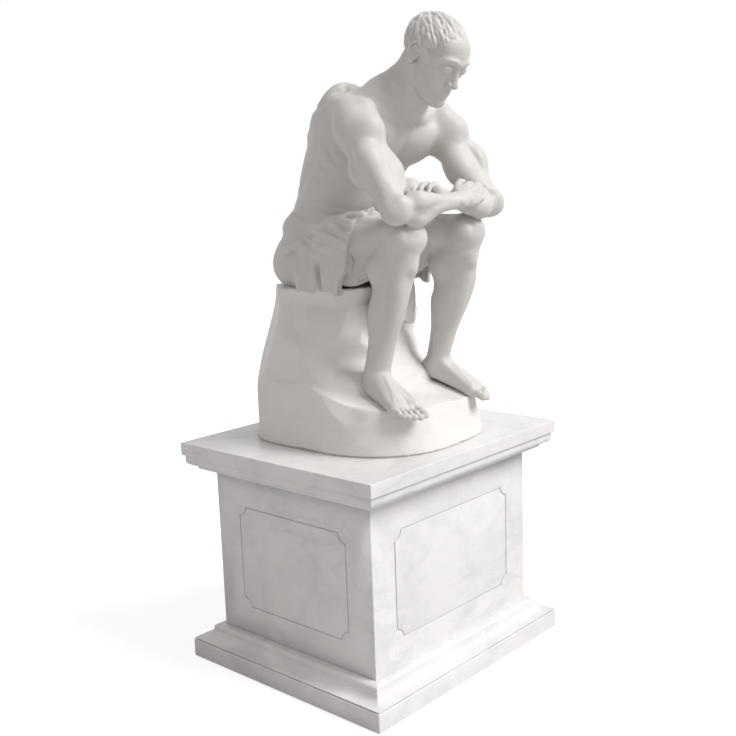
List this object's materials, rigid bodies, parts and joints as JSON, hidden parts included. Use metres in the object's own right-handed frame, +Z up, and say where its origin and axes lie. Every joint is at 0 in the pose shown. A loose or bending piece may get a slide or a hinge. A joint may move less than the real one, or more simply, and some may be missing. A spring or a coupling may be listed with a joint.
{
  "type": "seated figure statue on a plinth",
  "caption": "Life-size white marble statue of a seated figure with folded arms and bowed head, on a carved rock seat and a moulded, panelled plinth.",
  "frame": {"origin": "on the ground, under the middle of the plinth's foot slab", "axes": "+Z up, the figure faces -Y, its right side is -X"},
  "size_m": [1, 0.89, 2.1817],
  "materials": {
    "plinth_marble": "honed white marble with faint grey veins",
    "statue_marble": "satin carved white marble",
    "mortar": "pale lime mortar",
    "core_concrete": "cast concrete",
    "stainless_steel": "plain stainless rod"
  },
  "bodies": {
    "root": {"base_slab": "plinth_marble", "cap_slab": "plinth_marble", "base_moulding_front": "plinth_marble", "die_panel_front": "plinth_marble", "cap_moulding_front": "plinth_marble", "base_moulding_back": "plinth_marble", "die_panel_back": "plinth_marble", "cap_moulding_back": "plinth_marble", "base_moulding_left": "plinth_marble", "die_panel_left": "plinth_marble", "cap_moulding_left": "plinth_marble", "base_moulding_right": "plinth_marble", "die_panel_right": "plinth_marble", "cap_moulding_right": "plinth_marble", "rock_seat": "statue_marble", "torso": "statue_marble", "head": "statue_marble", "right_leg": "statue_marble", "left_leg": "statue_marble", "right_arm": "statue_marble", "left_arm": "statue_marble", "right_hand": "statue_marble", "left_hand": "statue_marble", "lap_cloth": "statue_marble", "base_bed": "mortar", "cap_bed": "mortar", "statue_bed": "mortar", "plinth_core": "core_concrete", "panel_ties": "stainless_steel", "base_dowels": "stainless_steel", "moulding_dowels": "stainless_steel", "statue_dowels": "stainless_steel", "seat_dowel": "stainless_steel", "neck_dowel": "stainless_steel", "hip_dowels": "stainless_steel", "shoulder_dowels": "stainless_steel", "wrist_dowels": "stainless_steel", "foot_dowels": "stainless_steel"}
  },
  "joints": []
}
